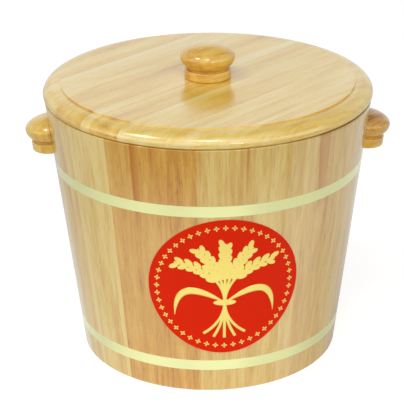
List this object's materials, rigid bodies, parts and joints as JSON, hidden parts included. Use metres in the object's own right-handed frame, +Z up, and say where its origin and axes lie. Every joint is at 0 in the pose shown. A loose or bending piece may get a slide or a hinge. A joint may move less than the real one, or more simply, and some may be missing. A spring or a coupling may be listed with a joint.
{
  "type": "lidded rice tub",
  "caption": "Tapered wooden stave rice tub with a lift-off round lid, turned lid knob, ear grips at the sides, flat metal hoops and a round front label.",
  "frame": {"origin": "on the floor, under the centre of the tub", "axes": "+Z up along the tub's axis, -Y to the front with the label, +X and -X through the ears"},
  "size_m": [0.3358, 0.3, 0.2896],
  "materials": {
    "stave_wood": "clear gloss lacquer",
    "bottom_wood": "bare, planed",
    "lid_wood": "clear gloss lacquer",
    "batten_wood": "bare, planed",
    "knob_wood": "clear gloss lacquer",
    "bamboo": "bare",
    "hoop_metal": "satin champagne gold",
    "label_film": "printed red and gold film",
    "screw_steel": "zinc plated"
  },
  "bodies": {
    "tub": {"stave_01": "stave_wood", "stave_02": "stave_wood", "stave_03": "stave_wood", "stave_04": "stave_wood", "stave_05": "stave_wood", "stave_06": "stave_wood", "stave_07": "stave_wood", "stave_08": "stave_wood", "stave_09": "stave_wood", "stave_10": "stave_wood", "stave_11": "stave_wood", "stave_12": "stave_wood", "stave_13": "stave_wood", "stave_14": "stave_wood", "stave_15": "stave_wood", "stave_16": "stave_wood", "stave_17": "stave_wood", "stave_18": "stave_wood", "stave_19": "stave_wood", "stave_20": "stave_wood", "stave_21": "stave_wood", "stave_22": "stave_wood", "stave_dowels": "bamboo", "bottom_board_1": "bottom_wood", "bottom_board_2": "bottom_wood", "bottom_board_3": "bottom_wood", "bottom_board_4": "bottom_wood", "bottom_board_5": "bottom_wood", "upper_hoop": "hoop_metal", "lower_hoop": "hoop_metal", "hoop_rivets": "hoop_metal", "front_label": "label_film", "left_ear": "knob_wood", "right_ear": "knob_wood", "ear_screws": "screw_steel"},
    "lid": {"lid_strip_1": "lid_wood", "lid_strip_2": "lid_wood", "lid_strip_3": "lid_wood", "lid_strip_4": "lid_wood", "lid_strip_5": "lid_wood", "lid_strip_6": "lid_wood", "lid_strip_7": "lid_wood", "lid_batten_1": "batten_wood", "lid_batten_2": "batten_wood", "batten_screws": "screw_steel", "lid_knob": "knob_wood", "knob_washer": "screw_steel", "knob_screw": "screw_steel"}
  },
  "joints": [
    {"name": "lid_lift", "type": "slide", "parent": "tub", "child": "lid", "axis": [0, 0, 1], "range_m": [0, 0.15]}
  ]
}
